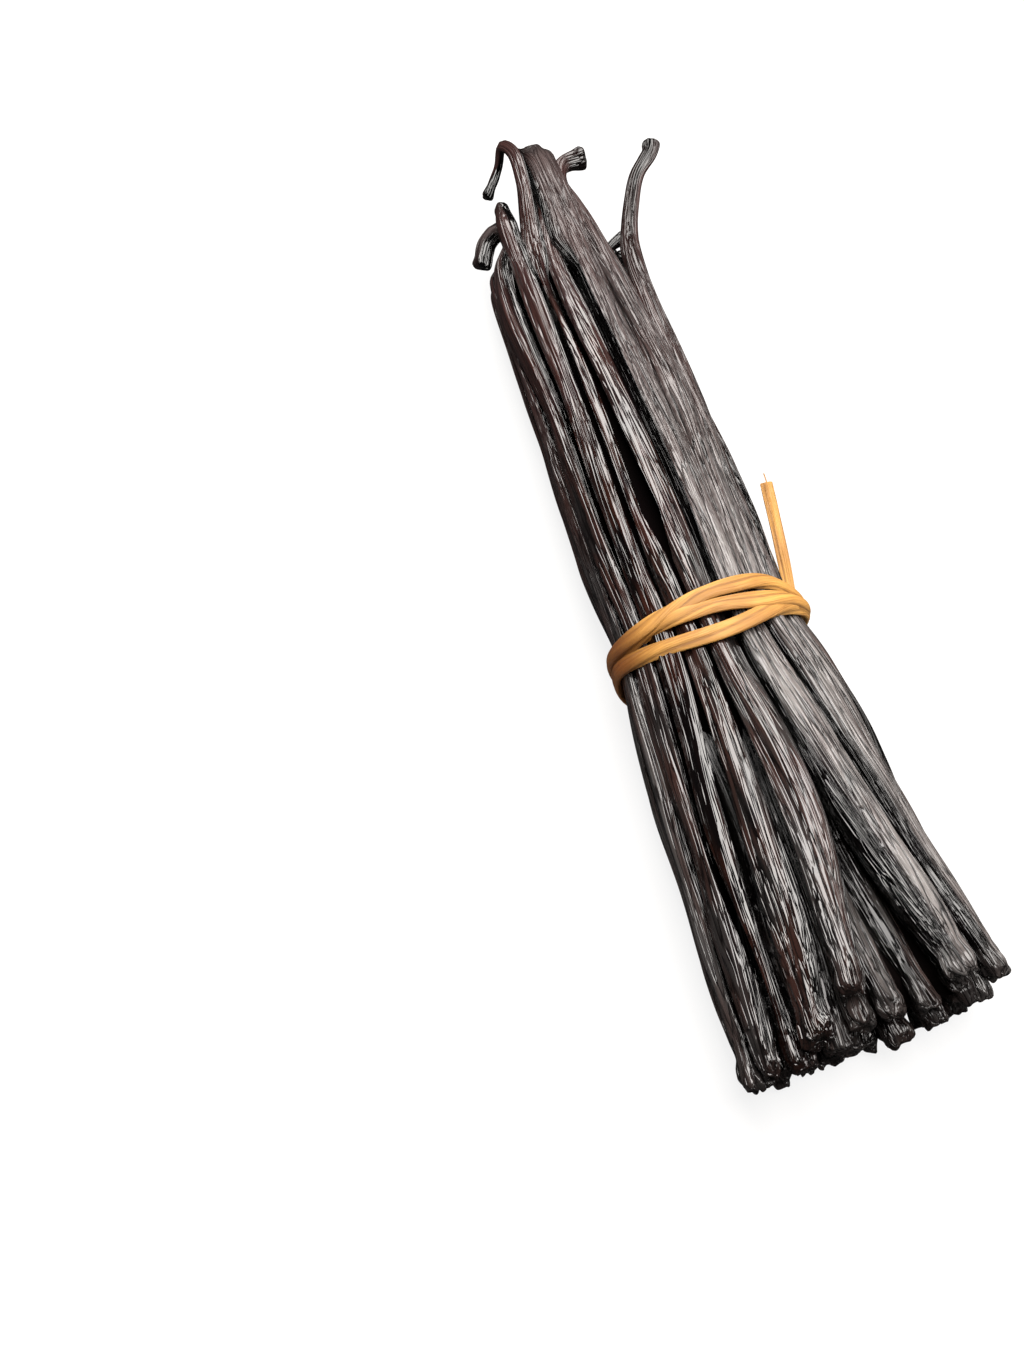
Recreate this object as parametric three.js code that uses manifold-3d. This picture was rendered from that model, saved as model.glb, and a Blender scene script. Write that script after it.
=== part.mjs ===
// A bundle of cured vanilla pods, held round its middle by a raffia tie.
// Millimetres, +Z up. The bundle lies along Y: the curled stem ends point to +Y, the blunt blossom
// ends to -Y. Places are worked out from the tie (y = 0, x = 0) and the floor (z = 0), and the whole
// is then shifted so that the origin is at the bottom centre of its box.
import * as THREE from "three";
import { mergeVertices } from "three/addons/utils/BufferGeometryUtils.js";
import Module from "manifold-3d";

const wasm = await Module();
wasm.setup();

// ---- Driving dimensions ----

// From the tie and the floor to the middle of the finished part's box.
const BOX_MIDDLE = new THREE.Vector3(4.95, 17, 0);

// The bundle's outline at a few stations along it. `middle` is how far its axis sits from the tie's
// and `lift` how far its underside is off the floor, where the tie squeezes it.
const STATIONS = [
  { y: -73, middle: 5.4, halfWidth: 25, halfHeight: 11.6, lift: -0.2 },
  { y: -40, middle: 2.4, halfWidth: 20.6, halfHeight: 13.2, lift: -1.1 },
  { y: -12, middle: 0.1, halfWidth: 17.8, halfHeight: 12.3, lift: 1 },
  { y: 0, middle: -0.9, halfWidth: 16.1, halfHeight: 11.7, lift: 1.9 },
  { y: 12, middle: -1.5, halfWidth: 16.1, halfHeight: 11.9, lift: 1.2 },
  { y: 45, middle: -2, halfWidth: 16.1, halfHeight: 12, lift: -1.1 },
  { y: 82, middle: -2.6, halfWidth: 16.2, halfHeight: 9.2, lift: 0 },
];
const [TIP, LOW, UNDER_TIE, AT_TIE, OVER_TIE, HIGH, BASE] = STATIONS;
const UNDERSIDE_POWER = 0.75; // below 1 the underside is flatter than an ellipse
const LOW_SHARE = 0.5; // how far a pod has turned from its tie angle to its tip angle at LOW
const HIGH_SHARE = 0.5; // and from its tie angle to its base angle at HIGH

// How deep under the bundle's outline the pods of each layer have their centre line.
const OUTER_INSET = 3.3;
const MIDDLE_INSET = 8.7;
const GIRTH_INSET = 3.4; // a pod with more girth than 1 lies this much deeper for each 1 of girth

// The solid core: how deep it lies at each y. Near the blossom ends it is slimmer, so that the
// second layer shows in the gaps.
const CORE_INSETS = [
  [-60, 9],
  [-34, 6.4],
  [-14, 3.6],
  [14, 3.4],
  [46, 3.6],
  [68, 4.4],
];

// One pod: its radius at distances from the blossom end, and at distances from the stem end.
const FROM_BLOSSOM_END = [
  [0, 1.4],
  [0.9, 2.3],
  [2.6, 2.45],
  [5.5, 2.35],
  [14, 2.85],
  [30, 3.5],
  [52, 3.7],
];
const FROM_STEM_END = [
  [66, 3.6],
  [46, 2.9],
  [32, 2.1],
  [22, 1.55],
  [15, 1.3],
  [10, 1.2],
  [6, 1.2],
  [2.6, 1.35],
  [0, 1.55],
];
// A stem may be thicker or thinner than its pod: that sets in between these distances from its end.
const STEM_GIRTH_SETS_IN = { full: 22, none: 46 };
const KNOB_REACH = 6; // how far from its end a stem swells or thins to its knob
const MID_RINGS = 3; // rings between the two ends, where the radius hardly changes
const TIE_SQUEEZE = { share: 0.9, reach: 18 }; // pods are thinner under the tie
const FLATTENING = 0.88; // across the bundle's skin, pods are pressed a little flat
const BROADENING = 1.06;
const BASE_INSET_SHARE = 0.85; // where a stem starts the pod is thin, so it lies nearer the outline

// The raffia: flat strands that run round the squeezed waist.
const STRAND = { width: 2.7, thickness: 0.8, clearance: 0.7, room: 0.35 };
// The knot sits low on the right flank, and two short ends leave it.
const KNOT = { angle: -30, offset: 2.7, radius: 1.6, stretch: 1.35, lean: 0.7, roll: 1.2 };
const TAIL = { width: 2.5, thickness: 0.6 };
const TAILS = [
  [[16.6, 1, 5.6], [17.9, 7, 6.8], [18.7, 15, 8.8], [19.6, 27, 11.2]],
  [[16.8, -1, 5], [18.4, -6, 4.4], [19.8, -11.5, 3.4]],
];
// Where each strand lies along the bundle at each angle round it: [angle, y] pairs.
const STRANDS = [
  [[0, 0], [45, 2.4], [90, 1.5], [140, -1.2], [180, -1.5], [220, -3], [270, 0], [320, 1]],
  [[0, -0.5], [45, -1.3], [90, -1.1], [125, -1], [180, -3], [225, 1], [270, 2.5], [320, 0]],
  [[0, -1], [45, -2.6], [85, -5.6], [130, -5.2], [170, -4.4], [215, -5.5], [270, -3.5], [320, -1.5]],
];

// How finely the curved pieces are divided.
const OUTER_SIDES = 7;
const INNER_SIDES = 6;
const CORE_SIDES = 16;
const STRAND_DETAIL = { sides: 6, steps: 40 };
const KNOT_LUMP_DETAIL = { around: 10, down: 7 };
const KNOT_TURN_DETAIL = { sides: 6, steps: 14 };
const TAIL_STEPS = 8;
const BEND_STEPS = 240;
const ARC_DIVISIONS = 400;
const MERGE_WITHIN = 1e-4;
const SIMPLIFY_WITHIN = 0.03;

const ABOVE_FLOOR = { side: 400, height: 100 }; // what of the pods is kept: all that is above z = 0
const DEGREE = Math.PI / 180;

// ---- The pods' layout ----
// Angles go round the bundle in degrees, 0 at the right (+X), 90 on top. `tip`, `tie` and `base` are
// the pod's angle at the blossom end, under the tie and where its stem starts; `reach` is the y of
// its blossom end, and `sink` how much deeper that end lies than the rest of its layer. `low` and
// `high` are the angles halfway to its two ends, where they aren't the mean of the two beside them.
// `stem` lists the points that a stem passes after its base, `stemGirth` is how thick it is for its
// pod, and `knob` how thick its end is for the stem.
const CROWN = [
  { tip: 152, tie: 148, base: 150, reach: -77.5, girth: 0.92, stemGirth: 1.6, knob: 0.75,
    stem: [[-11.2, 89.4, 11.5], [-12.2, 93.1, 11], [-14.8, 92, 9.6], [-17.2, 87.6, 8.1]] },
  { tip: 145, tie: 129, base: 127, reach: -77, sink: 4, girth: 0.95, stemGirth: 1.7, knob: 0.45,
    stem: [[-10.8, 92, 13.5], [-10.8, 97.8, 12.4]] },
  { tip: 121, tie: 111, base: 113, reach: -74.5, girth: 1.2, stemGirth: 0.74,
    stem: [[-5.8, 98.5, 16], [-5.6, 107, 15.4], [-7.1, 110.6, 13.2], [-8.4, 108.4, 10],
      [-12.1, 103.4, 8]] },
  { tip: 99, low: 90, tie: 93, base: 101, reach: -69, girth: 1.12, stemGirth: 1.3,
    stem: [[-3, 94, 14.5], [-2.6, 100.5, 12], [-2.2, 103, 9.5]] },
  { tip: 42, tie: 65, base: 79, reach: -69.5, girth: 1.32, stemGirth: 2.1,
    stem: [[-1.2, 97, 15.2], [-1.4, 104.2, 13.4], [-1.9, 107.6, 10.4]] },
  { tip: 5, tie: 44, high: 42, base: 63, reach: -70.5, girth: 1.05, stemGirth: 1.3,
    stem: [[2.4, 94, 13.2], [1.9, 100.3, 11.8], [3.4, 104.8, 11], [8.2, 106, 10.4]] },
  { tip: -28, tie: 27, base: 8, reach: -72, girth: 1, stemGirth: 1.25, knob: 0.95,
    stem: [[11.9, 87.5, 9.6], [13.9, 93, 11], [16.3, 98, 12], [20, 102, 13], [20.9, 104.3, 13]] },
];

// The pods of the right flank, the underside and the left flank, in order round the bundle.
const FLANKS = {
  pods: 10,
  tie: [14, -190],
  tip: [-48, -184],
  base: [-12, -186],
  reach: [-72.5, -77.5],
};

// The pods of the second layer; some show in the gaps between the crown's blossom ends.
const SECOND = [
  { tip: 143, tie: 150, base: 150, reach: -77 },
  { tip: 117, tie: 118, base: 118, reach: -76 },
  { tip: 100, tie: 100, base: 100, reach: -73.5 },
  { tip: 82, tie: 84, base: 80, reach: -73 },
  { tip: 58, tie: 58, base: 52, reach: -73 },
  { tip: 28, tie: 24, base: 12, reach: -71, stemGirth: 0.8,
    stem: [[7.2, 84.9, 8.6], [11.4, 87.9, 8.2]] },
  { tip: -18, tie: -20, base: -24, reach: -73 },
  { tip: -50, tie: -50, base: -48, reach: -74.5 },
  { tip: -78, tie: -78, base: -74, reach: -76 },
  { tip: -108, tie: -108, base: -110, reach: -75.5 },
  { tip: -152, tie: -152, base: -152, reach: -74.5 },
];
const HIDDEN_REACH = { from: -77.5, to: -74.5 };
const GIRTHS = { from: 0.9, to: 1.06 };
// A stem of the flanks and the second layer: how far it runs on past its base, how far its end may
// curl in towards the bundle's middle, how much it bows the other way first, and how it droops.
// Where the base of a pod has one of these angles, the stem was broken off short.
const BROKEN = { bases: [[-190, -160], [-40, 0], [140, 160]], share: 0.3 };
const STEM = { run: { from: 8, to: 18 }, curl: { from: 0, to: 7 }, bow: 0.3, droop: 0.8, lowest: 2.4 };
const SEED = 20;

// ---- Small tools ----

function randomFrom(seed) {
  let state = seed;
  return (from, to) => {
    state = (Math.imul(state, 1664525) + 1013904223) >>> 0;
    return from + ((to - from) * state) / 2 ** 32;
  };
}

// The outline at any y between the first and the last station.
function stationAt(y) {
  const after = STATIONS.findIndex((station) => station.y >= y);
  const a = STATIONS[after - 1];
  const b = STATIONS[after];
  const t = (y - a.y) / (b.y - a.y);
  const between = (key) => THREE.MathUtils.lerp(a[key], b[key], t);
  return {
    y,
    middle: between("middle"),
    halfWidth: between("halfWidth"),
    halfHeight: between("halfHeight"),
    lift: between("lift"),
  };
}

// A point `inset` under the bundle's outline at an angle round it.
function onOutline(station, angle, inset) {
  const across = Math.cos(angle * DEGREE);
  const up = Math.sin(angle * DEGREE);
  const height = up < 0 ? -(Math.abs(up) ** UNDERSIDE_POWER) : up;
  return new THREE.Vector3(
    station.middle + (station.halfWidth - inset) * across,
    station.y,
    station.lift + station.halfHeight + (station.halfHeight - inset) * height,
  );
}

function toManifold(geometry) {
  const bare = geometry.clone();
  bare.deleteAttribute("normal");
  bare.deleteAttribute("uv");
  const merged = mergeVertices(bare, MERGE_WITHIN);
  return new wasm.Manifold(
    new wasm.Mesh({
      numProp: 3,
      vertProperties: merged.attributes.position.array,
      triVerts: new Uint32Array(merged.index.array),
    }),
  );
}

function toGeometry(solid) {
  const mesh = solid.getMesh();
  const geometry = new THREE.BufferGeometry();
  geometry.setAttribute("position", new THREE.BufferAttribute(mesh.vertProperties, 3));
  geometry.setIndex(new THREE.BufferAttribute(mesh.triVerts, 1));
  geometry.computeVertexNormals();
  return geometry;
}

// The solid's largest body, without loose scraps and with its sealed hollows filled.
function largestBody(solid) {
  const bodies = solid.decompose();
  return bodies.reduce((best, body) => (body.volume() > best.volume() ? body : best));
}

// Moves a blank that stands along +Y onto a curve. Its x axis follows `outward`, carried along the
// curve without twisting, and is scaled by `press`; its z axis is scaled by `spread`.
function bendAlong(blank, length, curve, outward, press = 1, spread = 1) {
  const frames = [];
  let normal = outward.clone();
  for (let i = 0; i <= BEND_STEPS; i++) {
    const tangent = curve.getTangentAt(i / BEND_STEPS);
    normal = normal.addScaledVector(tangent, -normal.dot(tangent)).normalize();
    frames.push({ normal: normal.clone(), side: normal.clone().cross(tangent) });
  }
  const bent = blank.clone();
  const position = bent.attributes.position;
  const vertex = new THREE.Vector3();
  for (let i = 0; i < position.count; i++) {
    vertex.fromBufferAttribute(position, i);
    const share = THREE.MathUtils.clamp(vertex.y / length, 0, 1);
    const frame = frames[Math.round(share * BEND_STEPS)];
    const point = curve.getPointAt(share);
    point.addScaledVector(frame.normal, vertex.x * press);
    point.addScaledVector(frame.side, vertex.z * spread);
    position.setXYZ(i, point.x, point.y, point.z);
  }
  return bent;
}

// ---- Pods ----

function podCurve(pod, layerInset) {
  const inset = layerInset + (pod.girth - 1) * GIRTH_INSET;
  const low = pod.low ?? THREE.MathUtils.lerp(pod.tie, pod.tip, LOW_SHARE);
  const high = pod.high ?? THREE.MathUtils.lerp(pod.tie, pod.base, HIGH_SHARE);
  const points = [
    onOutline({ ...TIP, y: pod.reach }, pod.tip, inset + pod.sink),
    onOutline(LOW, low, inset),
    onOutline(UNDER_TIE, pod.tie, inset),
    onOutline(AT_TIE, pod.tie, inset),
    onOutline(OVER_TIE, pod.tie, inset),
    onOutline(HIGH, high, inset),
    onOutline(BASE, pod.base, inset * BASE_INSET_SHARE),
    ...pod.stem.map((point) => new THREE.Vector3(...point)),
  ];
  const curve = new THREE.CatmullRomCurve3(points, false, "centripetal");
  curve.arcLengthDivisions = ARC_DIVISIONS;
  return curve;
}

// A straight pod along +Y, turned on a lathe: blunt rimmed blossom end, full middle, thin stem.
function podBlank(length, pod, tieAt, sides) {
  const squeeze = (y) => {
    const near = Math.max(0, 1 - Math.abs(y - tieAt) / TIE_SQUEEZE.reach);
    return 1 - (1 - TIE_SQUEEZE.share) * near;
  };
  const profile = [...FROM_BLOSSOM_END];
  const [fullFrom, fullRadius] = FROM_BLOSSOM_END.at(-1);
  const [stemRun, stemRadius] = FROM_STEM_END[0];
  for (let i = 1; i <= MID_RINGS; i++) {
    const t = i / (MID_RINGS + 1);
    const y = THREE.MathUtils.lerp(fullFrom, length - stemRun, t);
    profile.push([y, THREE.MathUtils.lerp(fullRadius, stemRadius, t)]);
  }
  const { full, none } = STEM_GIRTH_SETS_IN;
  for (const [fromEnd, radius] of FROM_STEM_END) {
    const stemShare = 1 - THREE.MathUtils.smoothstep(fromEnd, full, none);
    const knobShare = Math.max(0, 1 - fromEnd / KNOB_REACH);
    const swell =
      THREE.MathUtils.lerp(1, pod.stemGirth, stemShare) * THREE.MathUtils.lerp(1, pod.knob, knobShare);
    profile.push([length - fromEnd, radius * swell]);
  }
  const outline = profile.map(
    ([y, radius]) => new THREE.Vector2(radius * pod.girth * squeeze(y), y),
  );
  return new THREE.LatheGeometry(
    [new THREE.Vector2(0, 0), ...outline, new THREE.Vector2(0, length)],
    sides,
  );
}

function podSolid(pod, inset, sides) {
  const curve = podCurve(pod, inset);
  const length = curve.getLength();
  const blank = podBlank(length, pod, Math.abs(pod.reach), sides);
  const outward = new THREE.Vector3(Math.cos(pod.tip * DEGREE), 0, Math.sin(pod.tip * DEGREE));
  return toManifold(bendAlong(blank, length, curve, outward, FLATTENING, BROADENING));
}

// A stem whose course is drawn at random: it runs on from the base and curls to one side.
function drawnStem(base, inset, random) {
  const start = onOutline(BASE, base, inset);
  const broken = BROKEN.bases.some(([from, to]) => base > from && base < to);
  const run = random(STEM.run.from, STEM.run.to) * (broken ? BROKEN.share : 1);
  const curl = random(STEM.curl.from, STEM.curl.to) * Math.sign(BASE.middle - start.x);
  const endHeight = Math.max(start.z * STEM.droop, STEM.lowest);
  const end = new THREE.Vector3(start.x + curl, start.y + run, endHeight);
  const halfway = start.clone().add(end).divideScalar(2);
  halfway.x -= curl * STEM.bow;
  return [halfway.toArray(), end.toArray()];
}

function withDrawnValues(pod, inset, random) {
  return {
    reach: random(HIDDEN_REACH.from, HIDDEN_REACH.to),
    girth: random(GIRTHS.from, GIRTHS.to),
    stem: drawnStem(pod.base, inset, random),
    stemGirth: 1,
    knob: 1,
    sink: 0,
    ...pod,
  };
}

function flankPods() {
  const pods = [];
  for (let i = 0; i < FLANKS.pods; i++) {
    const t = i / (FLANKS.pods - 1);
    const between = ([from, to]) => THREE.MathUtils.lerp(from, to, t);
    pods.push({
      tie: between(FLANKS.tie),
      tip: between(FLANKS.tip),
      base: between(FLANKS.base),
      reach: between(FLANKS.reach),
    });
  }
  return pods;
}

// The core is a lathed blank whose rings are then spread to the bundle's outline. The blank stands
// one unit long for each ring, so a vertex's place along it tells which ring it belongs to.
function coreSolid() {
  const rings = CORE_INSETS.map((_, index) => new THREE.Vector2(1, index));
  const first = new THREE.Vector2(0, 0);
  const last = new THREE.Vector2(0, rings.length - 1);
  const blank = new THREE.LatheGeometry([first, ...rings, last], CORE_SIDES);
  const position = blank.attributes.position;
  for (let i = 0; i < position.count; i++) {
    const [y, inset] = CORE_INSETS[Math.round(position.getY(i))];
    const radius = Math.hypot(position.getX(i), position.getZ(i));
    const angle = Math.atan2(position.getZ(i), position.getX(i)) / DEGREE;
    const station = stationAt(y);
    const middle = new THREE.Vector3(station.middle, y, station.lift + station.halfHeight);
    const point = middle.lerp(onOutline(station, angle, inset), radius);
    position.setXYZ(i, point.x, point.y, point.z);
  }
  return toManifold(blank);
}

function podsSolid() {
  const random = randomFrom(SEED);
  let solid = coreSolid();
  const addAll = (pods, inset, sides) => {
    for (const pod of pods) {
      solid = solid.add(podSolid(withDrawnValues(pod, inset, random), inset, sides));
    }
  };
  addAll(CROWN, OUTER_INSET, OUTER_SIDES);
  addAll(flankPods(), OUTER_INSET, OUTER_SIDES);
  addAll(SECOND, MIDDLE_INSET, INNER_SIDES);
  for (const course of STRANDS) solid = solid.subtract(strandSolid(course, STRAND.room));
  const aboveFloor = new THREE.BoxGeometry(ABOVE_FLOOR.side, ABOVE_FLOOR.side, ABOVE_FLOOR.height);
  aboveFloor.translate(0, 0, ABOVE_FLOOR.height / 2);
  return largestBody(solid.intersect(toManifold(aboveFloor)).simplify(SIMPLIFY_WITHIN));
}

// ---- Raffia tie ----

function strandCurve(course) {
  const gap = STRAND.clearance + STRAND.thickness / 2;
  const points = course.map(([angle, y]) => onOutline(stationAt(y), angle, -gap));
  return new THREE.CatmullRomCurve3(points, true, "centripetal");
}

// A flat closed strand: a ring whose section is pressed to a ribbon that lies on the pods. `room`
// thickens it all round, for the dent that it presses into them.
function strandSolid(course, room = 0) {
  const curve = strandCurve(course);
  const ring = 2;
  const blank = new THREE.TorusGeometry(ring, 1, STRAND_DETAIL.sides, STRAND_DETAIL.steps);
  const position = blank.attributes.position;
  const middle = new THREE.Vector3(AT_TIE.middle, 0, AT_TIE.lift + AT_TIE.halfHeight);
  for (let i = 0; i < position.count; i++) {
    const turn = Math.atan2(position.getY(i), position.getX(i)) / (2 * Math.PI);
    const point = curve.getPointAt((turn + 1) % 1);
    const tangent = curve.getTangentAt((turn + 1) % 1);
    const outward = point.clone().sub(middle).setY(0);
    outward.addScaledVector(tangent, -outward.dot(tangent)).normalize();
    const along = outward.clone().cross(tangent);
    const over = Math.hypot(position.getX(i), position.getY(i)) - ring;
    point.addScaledVector(outward, over * (STRAND.thickness / 2 + room));
    point.addScaledVector(along, position.getZ(i) * (STRAND.width / 2 + room));
    position.setXYZ(i, point.x, point.y, point.z);
  }
  return toManifold(blank);
}

// A loose end: a flat ribbon from the knot along the bundle's flank, cut square.
function tailSolid(points) {
  const curve = new THREE.CatmullRomCurve3(points.map((point) => new THREE.Vector3(...point)));
  const length = curve.getLength();
  const blank = new THREE.BoxGeometry(TAIL.thickness, length, TAIL.width, 1, TAIL_STEPS, 1);
  blank.translate(0, length / 2, 0);
  return toManifold(bendAlong(blank, length, curve, new THREE.Vector3(0, 0, 1)));
}

// The knot: two turns of the raffia drawn tight into small rings round the strands, over a lump.
function knotSolid() {
  const place = onOutline(AT_TIE, KNOT.angle, -KNOT.offset);
  const lump = new THREE.SphereGeometry(KNOT.radius, KNOT_LUMP_DETAIL.around, KNOT_LUMP_DETAIL.down);
  lump.scale(1, KNOT.stretch, 1).translate(place.x, place.y, place.z);
  let solid = toManifold(lump);
  for (const lean of [-KNOT.lean, KNOT.lean]) {
    const { sides, steps } = KNOT_TURN_DETAIL;
    const turn = new THREE.TorusGeometry(KNOT.radius, STRAND.thickness, sides, steps);
    turn.rotateY(lean).rotateX(KNOT.roll).translate(place.x, place.y + lean, place.z);
    solid = solid.add(toManifold(turn));
  }
  return solid;
}

function tieSolid() {
  let solid = knotSolid();
  for (const course of STRANDS) solid = solid.add(strandSolid(course));
  for (const tail of TAILS) solid = solid.add(tailSolid(tail));
  return largestBody(solid).simplify(SIMPLIFY_WITHIN);
}

// ---- The object ----

const podSkin = new THREE.MeshStandardMaterial({ color: 0x2b1c1b, roughness: 0.42, metalness: 0 });
const raffia = new THREE.MeshStandardMaterial({ color: 0xd39a4d, roughness: 0.6, metalness: 0 });

const bundle = new THREE.Group();
const addNode = (name, solid, material) => {
  const mesh = new THREE.Mesh(toGeometry(solid), material);
  mesh.name = name;
  bundle.add(mesh);
};
addNode("pods", podsSolid(), podSkin);
addNode("raffia_tie", tieSolid(), raffia);
bundle.position.copy(BOX_MIDDLE).negate();

export default bundle;
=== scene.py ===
# %% [markdown]
# # A bundle of cured vanilla pods, tied with raffia
#
# Vanilla pods are picked green, killed in hot water, sweated and dried for months. They shrink to
# dark, oily, leathery sticks with fine lengthwise wrinkles, and growers tie them in bundles with a
# strip of raffia. This lesson builds one such bundle: every pod is turned as a straight blank,
# wrinkled while it is still straight, and only then bent into its place. Working in that order keeps
# the wrinkles running along each pod, however it curves.

import math

import bmesh
import bpy
import numpy as np
from mathutils import Matrix, Vector, noise


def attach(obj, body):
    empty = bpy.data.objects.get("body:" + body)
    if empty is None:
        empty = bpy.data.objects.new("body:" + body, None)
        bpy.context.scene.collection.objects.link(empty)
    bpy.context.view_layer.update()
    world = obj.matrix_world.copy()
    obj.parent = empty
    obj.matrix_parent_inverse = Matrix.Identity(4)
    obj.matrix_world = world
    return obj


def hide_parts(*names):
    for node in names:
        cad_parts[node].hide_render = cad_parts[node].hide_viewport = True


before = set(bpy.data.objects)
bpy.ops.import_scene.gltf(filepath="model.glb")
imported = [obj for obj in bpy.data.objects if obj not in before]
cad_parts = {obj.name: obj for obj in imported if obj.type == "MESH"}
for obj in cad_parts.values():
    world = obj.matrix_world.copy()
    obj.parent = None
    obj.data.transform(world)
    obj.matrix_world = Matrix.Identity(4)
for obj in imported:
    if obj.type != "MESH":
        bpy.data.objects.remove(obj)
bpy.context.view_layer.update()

# %% [markdown]
# ## Sizes
#
# Lengths are written in millimetres, as a maker would measure them, and turned to metres when a mesh
# is finished. The places count from the tie: x across, y along the bundle towards the stems, z up
# from the table. The frame's origin is at the bottom centre of the whole bundle, so each finished
# mesh is shifted by the same step.

# %% Units and the shared step
MM = 0.001
BOX_MIDDLE = np.array([4.95, 17.0, 0.0])


def to_frame(points):
    """Millimetres from the tie become metres in the frame."""
    return (np.asarray(points) - BOX_MIDDLE) * MM


# %% [markdown]
# ## The bundle's outline
#
# A bundle is narrow where it is tied and fans out at its ends. Its outline is measured at seven
# stations, and every pod takes its place from an angle round that outline and a depth under it. One
# rule then lays all the pods, so the bundle stays closed all round.

# %% The outline's stations
STATIONS = {  # y: (middle, half width, half height, lift off the table)
    -73: (5.4, 25.0, 11.6, -0.2),
    -40: (2.4, 20.6, 13.2, -1.1),
    -12: (0.1, 17.8, 12.3, 1.0),
    0: (-0.9, 16.1, 11.7, 1.9),
    12: (-1.5, 16.1, 11.9, 1.2),
    45: (-2.0, 16.1, 12.0, -1.1),
    82: (-2.6, 16.2, 9.2, 0.0),
}
TIP, LOW, UNDER_TIE, AT_TIE, OVER_TIE, HIGH, BASE = STATIONS
UNDERSIDE_POWER = 0.75  # below 1 the underside is flatter than an ellipse


def station_at(y):
    """The outline's middle, half width, half height and lift at y."""
    columns = np.array(list(STATIONS.values())).T
    return [float(np.interp(y, list(STATIONS), column)) for column in columns]


def on_outline(y, angle, inset, measured_at=None):
    """The point that lies `inset` under the outline, at an angle in degrees (0 right, 90 on top)."""
    middle, half_width, half_height, lift = station_at(y if measured_at is None else measured_at)
    turn = math.radians(angle)
    height = math.sin(turn)
    if height < 0:
        height = -(abs(height) ** UNDERSIDE_POWER)
    x = middle + (half_width - inset) * math.cos(turn)
    z = lift + half_height + (half_height - inset) * height
    return np.array([x, y, z])


# %% [markdown]
# ## Camera
#
# A picture of a bundle on a table is usually taken from in front and well above. The camera stands at
# the blossom ends' side, a little left, and looks down at 65 degrees. Its height angle of view is 36
# degrees, as a phone's lens has when it is zoomed in a little.

# %% Put a thing in the scene
def put_in_scene(name, data):
    """Makes an object of a mesh, a light or a camera, and puts it in the scene."""
    thing = bpy.data.objects.new(name, data)
    bpy.context.scene.collection.objects.link(thing)
    return thing


# %% Camera
CAMERA_AZIMUTH = -15.2
CAMERA_ELEVATION = 65.0
CAMERA_DISTANCE = 372.3
CAMERA_LOOKS_AT = np.array([-33.45, 5.83, 0.0])
VIEW_HEIGHT_ANGLE = 36.0
SENSOR_HEIGHT = 24.0
NEAREST_SEEN = 0.01  # in metres


def direction(azimuth, elevation):
    """The unit vector from the object towards a viewer: azimuth 0 is in front, 90 at the right."""
    a = math.radians(azimuth)
    e = math.radians(elevation)
    return Vector((math.sin(a) * math.cos(e), -math.cos(a) * math.cos(e), math.sin(e)))


camera_data = bpy.data.cameras.new("camera")
camera = put_in_scene("camera", camera_data)
target = Vector(to_frame(CAMERA_LOOKS_AT))
camera.location = target + direction(CAMERA_AZIMUTH, CAMERA_ELEVATION) * CAMERA_DISTANCE * MM
camera.rotation_euler = (target - camera.location).to_track_quat("-Z", "Y").to_euler()
camera_data.sensor_fit = "VERTICAL"
camera_data.sensor_height = SENSOR_HEIGHT
camera_data.lens = SENSOR_HEIGHT / 2 / math.tan(math.radians(VIEW_HEIGHT_ANGLE / 2))
camera_data.clip_start = NEAREST_SEEN
bpy.context.scene.camera = camera
print("camera at", [round(value * 1000) for value in camera.location], "mm")

# %% [markdown]
# ## A smooth path
#
# Pods and raffia both follow curves through a few points. A centripetal Catmull-Rom curve passes
# through each of its points and never loops between two that lie close, which a plain spline does.
# It is cut into short, equal steps, so that a length along the curve is easy to find.

# %% Smooth paths and frames along them
SPAN_STEPS = 40
PATH_STEPS = 360


def smooth_path(points, steps=PATH_STEPS, closed=False):
    """`steps` + 1 equally spaced points on a centripetal Catmull-Rom curve."""
    points = np.asarray(points, float)
    if closed:
        row = np.vstack([points[-1], points, points[:2]])
    else:
        row = np.vstack([2 * points[0] - points[1], points, 2 * points[-1] - points[-2]])
    dense = [row[1]]
    for p0, p1, p2, p3 in zip(row, row[1:], row[2:], row[3:]):
        d0, d1, d2 = (math.sqrt(np.linalg.norm(b - a)) for a, b in ((p0, p1), (p1, p2), (p2, p3)))
        start = ((p1 - p0) / d0 - (p2 - p0) / (d0 + d1) + (p2 - p1) / d1) * d1
        end = ((p2 - p1) / d1 - (p3 - p1) / (d1 + d2) + (p3 - p2) / d2) * d1
        for t in np.arange(1, SPAN_STEPS + 1) / SPAN_STEPS:
            bend = (2 * p1 - 2 * p2 + start + end) * t**3
            bow = (-3 * p1 + 3 * p2 - 2 * start - end) * t**2
            dense.append(p1 + start * t + bow + bend)
    dense = np.array(dense)
    run = np.append(0, np.cumsum(np.linalg.norm(np.diff(dense, axis=0), axis=1)))
    even = np.linspace(0, run[-1], steps + 1)
    return np.stack([np.interp(even, run, column) for column in dense.T], axis=1)


def path_length(path):
    return float(np.linalg.norm(np.diff(path, axis=0), axis=1).sum())


def unit(vectors):
    return vectors / np.linalg.norm(vectors, axis=-1, keepdims=True)


def frames_along(path, outward):
    """The tangent, normal and side. One `outward` is carried along without twisting."""
    tangents = unit(np.gradient(path, axis=0))
    if np.ndim(outward) > 1:
        normals = unit(outward - tangents * np.sum(outward * tangents, axis=1, keepdims=True))
        return tangents, normals, np.cross(normals, tangents)
    normals = []
    normal = np.asarray(outward, float)
    for tangent in tangents:
        normal = unit(normal - tangent * (normal @ tangent))
        normals.append(normal)
    normals = np.array(normals)
    return tangents, normals, np.cross(normals, tangents)


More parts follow.
